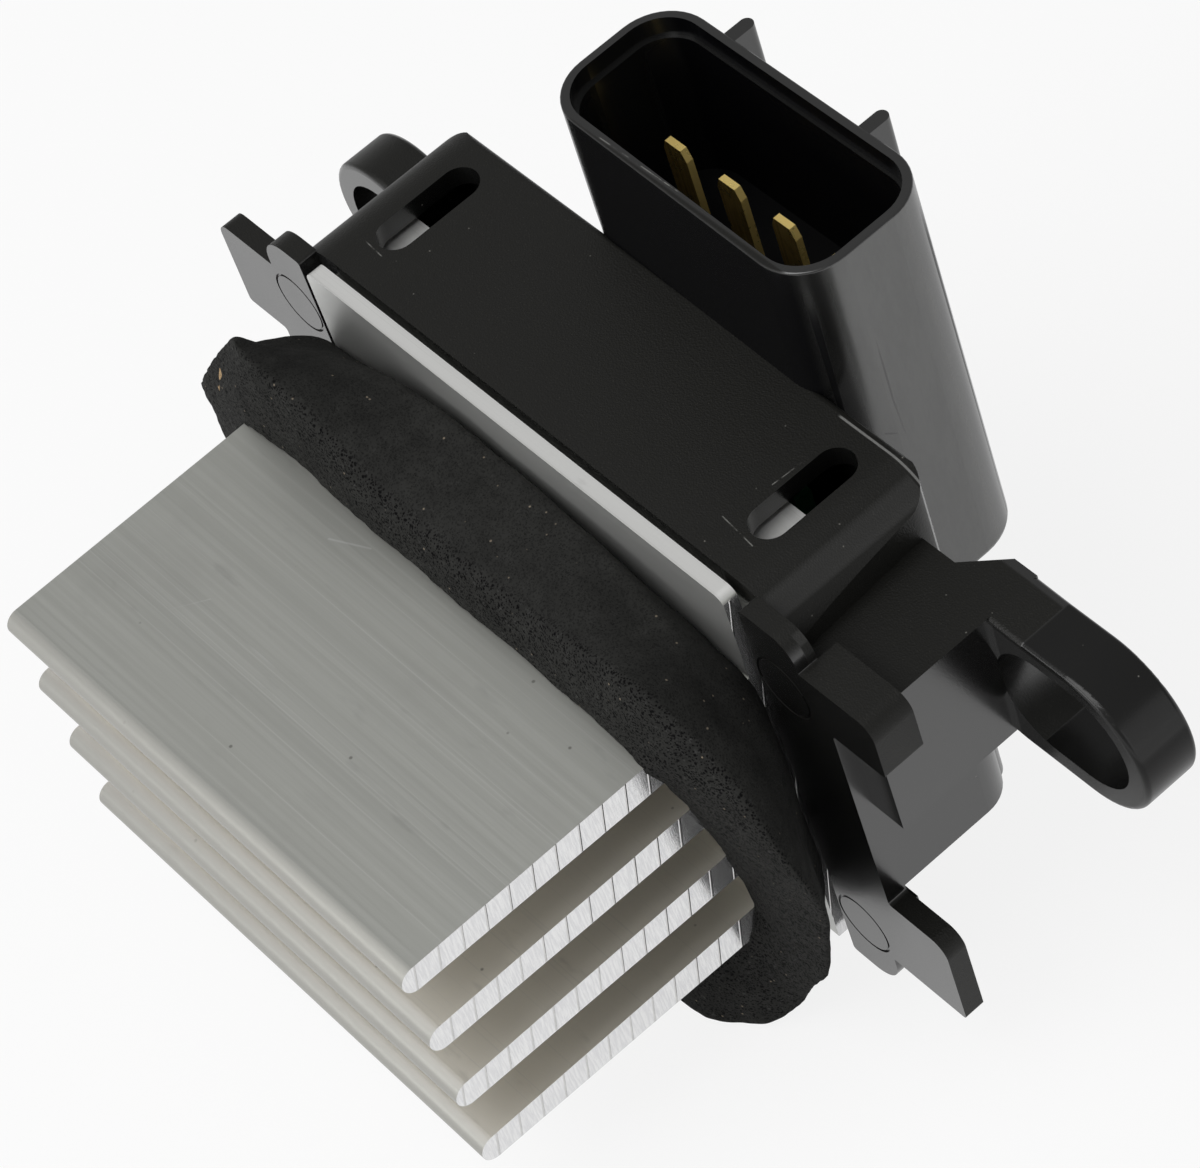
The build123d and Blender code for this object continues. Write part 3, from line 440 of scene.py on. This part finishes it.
    flow = finish.streaks((60, 60, 18), detail=3.0, roughness=0.5)
    rough = finish.ramp(flow, 0.25, 0.75, 0.18, 0.27)
    rough = finish.sums("ADD", rough, finish.times(worked, 0.28))
    rough = finish.sums("ADD", rough, finish.times(deep, 0.2))
    gleam = finish.ramp(worked, 0.0, 1.0, 1.0, 0.27)
    gleam = finish.largest(gleam, finish.times(turned, 0.6))
    gleam = finish.times(
        gleam, finish.ramp(dull, 0.0, 1.0, 1.0, 0.2), finish.ramp(deep, 0.0, 1.0, 1.0, 0.25)
    )
    grain = finish.times(finish.cells(6200), finish.ramp(worked, 0.0, 1.0, 0.1, 1.0))
    bump = finish.relief(grain, depth=0.03, strength=0.75)
    return finish.set(colour=colour, rough=rough, bump=bump, gleam=gleam)


def gasket_foam():
    """Open foam: dark pores on the cut faces, a closed skin with few pores on the outside."""
    finish = Finish("gasket_foam")
    cut = finish.add("ShaderNodeAttribute", attribute_name="cut_face").outputs["Fac"]
    body = finish.cloud(420)
    pore = finish.times(
        finish.largest(
            finish.fall(finish.cells(4400), 0.2, 0.42), finish.fall(finish.cells(2000), 0.18, 0.32)
        ),
        finish.ramp(cut, 0.0, 1.0, 0.25, 1.0),
    )
    colour = finish.blend(body, (0.0095, 0.0095, 0.009), (0.034, 0.034, 0.032))
    colour = finish.blend(pore, colour, (0.001, 0.001, 0.0013))
    skin = finish.ramp(finish.cells(4200), 0.1, 0.5, 0.9, 0.0)
    colour = finish.blend(skin, colour, (0.003, 0.003, 0.003), share=0.6)
    dust = finish.fall(finish.cells(620), 0.03, 0.085)
    colour = finish.blend(dust, colour, (0.3, 0.25, 0.19), share=0.6)
    # one brown fibre that sticks to the upper left of the front face
    fibre = finish.strokes((
        ((-29.7, -8.6, 16.2), (-30.2, -8.6, 14.4)), ((-30.2, -8.6, 14.4), (-30.9, -8.7, 13.4)),
    ), width=0.7)
    fibre = finish.ramp(fibre, 0.82, 0.95)
    colour = finish.blend(fibre, colour, (0.42, 0.29, 0.16), share=0.85)
    # pale walls between the pores
    walls = finish.times(
        finish.ramp(finish.cloud(1500, detail=2.0, roughness=0.7), 0.6, 0.78),
        finish.ramp(cut, 0.0, 1.0, 0.12, 0.35),
    )
    colour = finish.blend(walls, colour, (0.085, 0.085, 0.083))
    height = finish.sums("SUBTRACT", finish.times(body, 0.5), pore)
    bump = finish.relief(height, depth=0.16, strength=0.8)
    return finish.set(colour=colour, rough=0.9, bump=bump, gleam=0.1)


def brass_blades():
    """Drawn brass, with a painted highlight on the narrow edges and a little stain on the broad
    faces.
    """
    finish = Finish("brass_blades")
    lines = finish.streaks((3000, 3000, 150))
    stain = finish.cloud(500, detail=3.0)
    colour = finish.blend(finish.ramp(lines, 0.3, 0.7), (0.42, 0.28, 0.07), (0.66, 0.46, 0.14))
    colour = finish.blend(finish.ramp(stain, 0.55, 0.75, 0.0, 0.5), colour, (0.3, 0.19, 0.06))
    # painted highlight: the narrow edges are painted bright gold and less metallic, for the light
    # they catch
    edge_highlight = finish.fall(finish.squarely("Y"), 0.7, 0.95)
    return finish.set(
        colour=finish.blend(edge_highlight, colour, (0.95, 0.72, 0.24)),
        rough=finish.ramp(stain, 0.3, 0.7, 0.24, 0.4),
        metal=finish.ramp(edge_highlight, 0.0, 1.0, 0.88, 0.4),
        bump=finish.relief(lines, depth=0.01, strength=0.5),
    )


def board_laminate():
    """Green solder mask over the weave of the glass cloth."""
    finish = Finish("board_laminate")
    weave = finish.cells(1800)
    tint = finish.cloud(90, detail=2.0, roughness=0.5)
    return finish.set(
        colour=finish.blend(tint, (0.01, 0.07, 0.028), (0.018, 0.11, 0.04)),
        rough=finish.ramp(weave, 0.0, 0.6, 0.3, 0.4),
        bump=finish.relief(weave, depth=0.01, strength=0.4),
    )


def plain_finish(name, dark, light, rough, metal=0.0):
    """A finish of one colour with its own fine grain, for what sits inside the case."""
    finish = Finish(name)
    grains = finish.cloud(1400)
    return finish.set(
        colour=finish.blend(grains, dark, light),
        rough=finish.ramp(grains, 0.3, 0.7, rough - 0.06, rough + 0.06),
        metal=metal,
        bump=finish.relief(grains, depth=0.01, strength=0.5),
    )


dress(extruded_aluminium(), "heat_sink")
dress(moulded_housing(), "housing")
dress(brass_blades(), *(f"blade_terminal_{number}" for number in range(1, 5)))
dress(board_laminate(), "circuit_board")
dress(
    plain_finish("moulded_epoxy", (0.01, 0.01, 0.01), (0.025, 0.025, 0.024), 0.5),
    "transistor_body_left", "transistor_body_right", "control_chip", "zener_diode",
    "chip_resistors",
)
dress(
    plain_finish("tinned_metal", (0.55, 0.55, 0.54), (0.75, 0.75, 0.74), 0.3, 1.0),
    "transistor_tab_left", "transistor_tab_right", "transistor_leads_left",
    "transistor_leads_right", "capacitor_leads", "chip_legs", "solder_joints",
)
dress(
    plain_finish("zinc_plated_steel", (0.5, 0.5, 0.48), (0.68, 0.68, 0.65), 0.32, 1.0),
    "transistor_screws", "screw_washers", "heat_sink_screws",
)
dress(
    plain_finish("insulating_sheet", (0.5, 0.48, 0.42), (0.62, 0.6, 0.53), 0.6),
    "insulating_pad_left", "insulating_pad_right",
)
dress(
    plain_finish("resistance_alloy", (0.42, 0.38, 0.32), (0.56, 0.52, 0.45), 0.35, 1.0),
    "shunt_resistor",
)
dress(
    plain_finish("can_aluminium", (0.6, 0.6, 0.62), (0.75, 0.75, 0.77), 0.3, 1.0),
    "filter_capacitor",
)
dress(
    plain_finish("chip_ceramic", (0.3, 0.2, 0.12), (0.42, 0.3, 0.19), 0.5), "chip_capacitors"
)


# ---------------------------------------------------------------- foam gasket
# Stations round the ring, clockwise from the middle of its top seen from the fins' side.
# Each has the front's inner edge (x, z) and its depth, the front's outer crease (x, z) and its
# depth, and the outer edge at the back (x, z) and its depth. All in millimetres, y negative
# towards the tips of the fins.
foam_stations = (
    ((0, 13.8), -10.2, (0, 19.0), -9.2, (0, 20.5), -0.8),
    ((10, 13.8), -10.3, (10, 19.5), -9.3, (11, 20.3), -1.2),
    ((19, 13.8), -10.5, (19.5, 20.9), -9.1, (20, 19.5), -2.2),
    ((24.5, 13.8), -10.9, (27, 21.9), -9.0, (26.5, 17.6), -3.0),
    ((26, 13.0), -11.0, (30.8, 18.1), -8.2, (30.0, 14.5), -3.0),
    ((26, 11), -10.0, (34.4, 14.9), -8.0, (31.5, 11.5), -3.0),
    ((26, 7), -8.7, (38.0, 8.8), -7.9, (31.8, 7), -3.0),
    ((26, 3), -8.1, (39.4, 4.5), -7.2, (31.8, 3), -3.0),
    ((26, -1), -7.4, (38.6, 0.5), -6.7, (31.5, -1), -3.0),
    ((26, -5.5), -6.7, (36.9, -4.8), -6.5, (31, -5.5), -2.8),
    ((26, -10), -6.4, (34.8, -11.3), -6.5, (30.0, -10), -2.4),
    ((26, -13), -7.4, (30.8, -17.8), -6.5, (28.2, -15), -1.8),
    ((25, -13.8), -8.2, (28.1, -22.8), -6.8, (26.3, -18), -1.6),
    ((22, -13.8), -9.4, (24.7, -26.2), -9.4, (23, -19.2), -1.4),
    ((16, -13.8), -11.2, (17.5, -26.8), -11.7, (16, -19.2), -1.0),
    ((0, -13.8), -10.6, (0, -23.0), -10.6, (0, -19.2), -0.8),
    ((-16, -13.8), -9.5, (-16, -23.0), -9.3, (-16, -19.2), -1.0),
    ((-25, -13.8), -9.0, (-27, -21.5), -8.4, (-26, -18.2), -1.4),
    ((-26, -12.5), -9.2, (-33.5, -15), -8.0, (-29.5, -13), -2.0),
    ((-26, -7), -9.4, (-36.8, -7), -7.9, (-31, -6.5), -2.6),
    ((-26, 1), -9.8, (-37.4, 1), -8.0, (-32, 0), -3.0),
    ((-26, 7), -10.0, (-37.4, 7.4), -8.0, (-32.5, 6.5), -3.6),
    ((-26, 10), -10.1, (-36.6, 9.3), -8.0, (-32.3, 9.5), -4.0),
    ((-26, 13), -10.1, (-31.6, 15.9), -8.0, (-30.5, 14.0), -5.0),
    ((-25, 13.8), -10.1, (-26.0, 22.9), -8.2, (-27.6, 19.2), -5.9),
    ((-22.5, 13.8), -10.0, (-23.2, 23.9), -8.9, (-23.4, 19.6), -4.0),
    ((-18, 13.8), -9.8, (-18.5, 23.8), -9.1, (-19.5, 20.4), -2.8),
    ((-14, 13.8), -9.9, (-14.5, 22.8), -9.1, (-15.4, 20.8), -1.6),
    ((-9, 13.8), -10.0, (-9.5, 20.6), -9.2, (-10, 21.0), -1.0),
    ((-4.5, 13.8), -10.0, (-4.5, 19.2), -9.2, (-5, 20.9), -0.9),
)

# Points of the mesh from one station to the next, and along each side of the ring's section
ring_steps = 14
front_steps, skin_steps, back_steps, wall_steps = 12, 8, 6, 5
front_dome, skin_bulge = 0.4, 0.5

# How open the foam is on each side, from 0 for closed skin to 1 for a fresh cut
cut_front, cut_skin, cut_back, cut_wall = 1.0, 0.0, 0.3, 0.8

# The unevenness of the surface: height in millimetres, and waves to the metre
unevenness = ((0.25, 160), (0.09, 900))


def smooth_run(values, steps):
    """A closed smooth run through a list of points, steps points for each stretch."""
    count = len(values)
    run = []
    for index in range(count):
        before, start, end, after = (Vector(values[(index + k) % count]) for k in (-1, 0, 1, 2))
        for step in range(steps):
            t = step / steps
            run.append(
                0.5
                * (
                    2 * start
                    + (end - before) * t
                    + (2 * before - 5 * start + 4 * end - after) * t * t
                    + (3 * start - before - 3 * end + after) * t * t * t
                )
            )
    return run


def straight_run(values, steps):
    """As smooth_run, with straight stretches."""
    count = len(values)
    return [
        Vector(values[index]).lerp(Vector(values[(index + 1) % count]), step / steps)
        for index in range(count)
        for step in range(steps)
    ]


def ring_section(hole_front, crease, rear):
    """The points round the ring at one place, in millimetres, each with how open the foam is."""
    hole_back = Vector((hole_front.x, 0, hole_front.z))
    outward = Vector((crease.x - hole_front.x, 0, crease.z - hole_front.z)).normalized()
    section = []
    # front face from the hole to the crease, slightly domed
    for step in range(front_steps + 1):
        t = step / front_steps
        point = hole_front.lerp(crease, t)
        point.y -= front_dome * math.sin(math.pi * t)
        section.append((point, cut_front))
    # the outer skin down to the back edge, bulging on most of its way
    for step in range(1, skin_steps + 1):
        t = step / skin_steps
        bulge = skin_bulge * math.sin(math.pi * min(1, t * 1.3))
        section.append((crease.lerp(rear, t) + outward * bulge, cut_skin))
    # back face to the hole, lying on the plate near it
    for step in range(1, back_steps + 1):
        t = step / back_steps
        point = rear.lerp(hole_back, t)
        point.y = rear.y * (1 - t) ** 2
        section.append((point, cut_back))
    # wall of the hole up to the front
    for step in range(1, wall_steps):
        section.append((hole_back.lerp(hole_front, step / wall_steps), cut_wall))
    return section


def make_gasket():
    runs = (
        straight_run([(x, y, z) for (x, z), y, _, _, _, _ in foam_stations], ring_steps),
        smooth_run([(x, y, z) for _, _, (x, z), y, _, _ in foam_stations], ring_steps),
        smooth_run([(x, y, z) for _, _, _, _, (x, z), y in foam_stations], ring_steps),
    )
    mesh = bmesh.new()
    cut_face = mesh.verts.layers.float.new("cut_face")
    rings = []
    for places in zip(*runs):
        ring = []
        for point, openness in ring_section(*places):
            vert = mesh.verts.new(point * MM)
            vert[cut_face] = openness
            ring.append(vert)
        rings.append(ring)
    for ring, other in zip(rings, rings[1:] + rings[:1]):
        for k in range(len(ring)):
            after = (k + 1) % len(ring)
            mesh.faces.new((ring[k], ring[after], other[after], other[k]))
    bmesh.ops.recalc_face_normals(mesh, faces=mesh.faces)
    data = bpy.data.meshes.new("gasket")
    mesh.to_mesh(data)
    mesh.free()
    gasket = bpy.data.objects.new("gasket", data)
    bpy.context.scene.collection.objects.link(gasket)
    return gasket


def settle_gasket(gasket):
    """Subdivides the ring and gives its faces the soft unevenness of cut foam."""
    bpy.ops.object.select_all(action="DESELECT")
    gasket.select_set(True)
    bpy.context.view_layer.objects.active = gasket
    refine = gasket.modifiers.new("refine", "SUBSURF")
    refine.levels = refine.render_levels = 1
    bpy.ops.object.modifier_apply(modifier=refine.name)
    data = gasket.data
    normals = [vert.normal.copy() for vert in data.vertices]
    hold = 0.2 * MM
    for vert, normal in zip(data.vertices, normals):
        place = vert.co
        in_hole = abs(place.x) < fin_end + hold and abs(place.z) < hole_half_height * MM + hold
        on_plate = place.y > -hold
        if in_hole or on_plate:
            continue
        swell = sum(share * noise.noise(place * waves) for share, waves in unevenness)
        vert.co += normal * swell * MM
    for polygon in data.polygons:
        polygon.use_smooth = True


gasket = make_gasket()
settle_gasket(gasket)
gasket.data.materials.append(gasket_foam())
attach(gasket, "root")
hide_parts("foam_gasket")


# ---------------------------------------------------------------- studio
def floor_finish():
    """Pale paper that glows to the camera and in the part's shine, and keeps its soft shadow."""
    paper_colour = (0.82, 0.82, 0.82, 1)
    glow_shares = (("Is Camera Ray", 0.85), ("Is Glossy Ray", 0.7))
    material = bpy.data.materials.new("studio_floor")
    material.use_nodes = True
    tree = material.node_tree
    tree.nodes.clear()
    output, paper, glow, path, share, mix = (
        tree.nodes.new(f"ShaderNode{kind}")
        for kind in ("OutputMaterial", "BsdfDiffuse", "Emission", "LightPath", "Math", "MixShader")
    )
    paper.inputs["Color"].default_value = paper_colour
    glow.inputs["Strength"].default_value = 1.0
    share.operation = "MAXIMUM"
    for index, (ray, part) in enumerate(glow_shares):
        seen = tree.nodes.new("ShaderNodeMath")
        seen.operation = "MULTIPLY"
        seen.inputs[1].default_value = part
        tree.links.new(path.outputs[ray], seen.inputs[0])
        tree.links.new(seen.outputs[0], share.inputs[index])
    for index, node in enumerate((share, paper, glow)):
        tree.links.new(node.outputs[0], mix.inputs[index])
    tree.links.new(mix.outputs[0], output.inputs["Surface"])
    return material


bpy.ops.object.select_all(action="DESELECT")
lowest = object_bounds()[0][2]
bpy.ops.mesh.primitive_plane_add(size=6, location=(0, 0, lowest - 0.02 * MM))
floor = bpy.context.active_object
floor.name = "studio_floor"
floor.data.materials.append(floor_finish())


def softbox(name, place, width, height, watts):
    """A rectangular lamp that looks at the part's origin."""
    lamp = bpy.data.lights.new(name, "AREA")
    lamp.shape = "RECTANGLE"
    lamp.size, lamp.size_y = width, height
    lamp.energy = watts
    holder = bpy.data.objects.new(name, lamp)
    holder.location = place
    holder.rotation_euler = (-Vector(place)).to_track_quat("-Z", "Y").to_euler()
    bpy.context.scene.collection.objects.link(holder)


softbox("key_softbox", (-0.05, -0.45, 0.8), width=0.7, height=0.7, watts=5)
softbox("right_softbox", (0.85, 0.05, 0.2), width=0.6, height=0.6, watts=0.8)
softbox("front_softbox", (-0.2, -0.9, 0.35), width=0.7, height=0.4, watts=3)

world = bpy.data.worlds.new("studio_world")
bpy.context.scene.world = world
world.use_nodes = True
world.node_tree.nodes["Background"].inputs["Color"].default_value = (1, 1, 1, 1)
world.node_tree.nodes["Background"].inputs["Strength"].default_value = 0.36

bpy.context.scene.view_settings.view_transform = "Standard"


# ---------------------------------------------------------------- camera
def photograph_camera():
    """The camera that took the photograph, from its place and the way it looks."""
    place = Vector((238.408, -104.336, 313.675)) * MM
    look = Vector((-0.58464, 0.26295, -0.7675))
    up = Vector((-0.50871, 0.61813, 0.59928))
    picture_width, focal_pixels, sensor = 1200, 5032.12, 36.0
    lens = bpy.data.cameras.new("photograph_camera")
    lens.sensor_fit = "HORIZONTAL"
    lens.sensor_width = sensor
    lens.lens = focal_pixels / picture_width * sensor
    lens.clip_start, lens.clip_end = 0.01, 20
    camera = bpy.data.objects.new("photograph_camera", lens)
    right = look.cross(up).normalized()
    up = right.cross(look).normalized()
    matrix = camera.matrix_world.copy()
    for row in range(3):
        matrix[row][0], matrix[row][1], matrix[row][2] = right[row], up[row], -look[row]
        matrix[row][3] = place[row]
    bpy.context.scene.collection.objects.link(camera)
    camera.matrix_world = matrix
    bpy.context.scene.camera = camera


photograph_camera()
